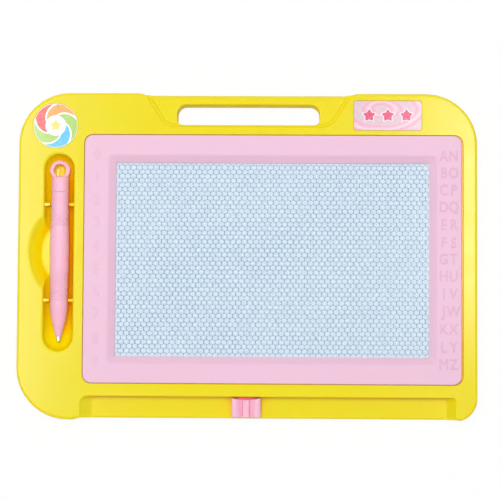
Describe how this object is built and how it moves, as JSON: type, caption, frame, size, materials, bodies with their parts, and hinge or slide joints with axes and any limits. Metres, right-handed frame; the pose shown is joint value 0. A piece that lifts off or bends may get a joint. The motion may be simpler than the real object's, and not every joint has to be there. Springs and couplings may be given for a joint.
{
  "type": "magnetic drawing board",
  "caption": "Flat child's magnetic drawing board: rounded housing with carrying handle, framed honeycomb screen, pen lying in its tray and an eraser slider in a track under the screen.",
  "frame": {"origin": "under the middle of the board, on the surface that its back lies on", "axes": "+X to the right along the board's long side, +Y to the carrying handle, +Z out of the drawing face"},
  "size_m": [0.32, 0.228, 0.0209],
  "materials": {
    "shell_plastic": "moulded, satin gloss",
    "pink_plastic": "moulded, satin gloss",
    "clear_film": "clear gloss",
    "honeycomb_plastic": "translucent, milky",
    "gloss_sticker": "printed gloss",
    "zinc_steel": "zinc plated",
    "carrier_plastic": "moulded, matt",
    "magnet_rubber": "matt"
  },
  "bodies": {
    "board": {"front_shell": "shell_plastic", "back_cover": "shell_plastic", "bezel": "pink_plastic", "backing_film": "clear_film", "honeycomb_core": "honeycomb_plastic", "front_film": "clear_film", "round_sticker": "gloss_sticker", "corner_label": "gloss_sticker", "cover_screw_1": "zinc_steel", "cover_screw_2": "zinc_steel", "cover_screw_3": "zinc_steel", "cover_screw_4": "zinc_steel", "cover_screw_5": "zinc_steel", "cover_screw_6": "zinc_steel", "cover_screw_7": "zinc_steel", "cover_screw_8": "zinc_steel"},
    "eraser": {"eraser_knob": "pink_plastic", "eraser_carrier": "carrier_plastic", "eraser_magnet": "magnet_rubber"},
    "pen": {"pen_barrel": "pink_plastic", "pen_tail_cap": "pink_plastic", "pen_tip_magnet": "zinc_steel"}
  },
  "joints": [
    {"name": "eraser_slide", "type": "slide", "parent": "board", "child": "eraser", "axis": [1, 0, 0], "range_m": [-0.096, 0.127]},
    {"name": "pen_lift", "type": "slide", "parent": "board", "child": "pen", "axis": [0, 0, 1], "range_m": [0, 0.04]}
  ]
}
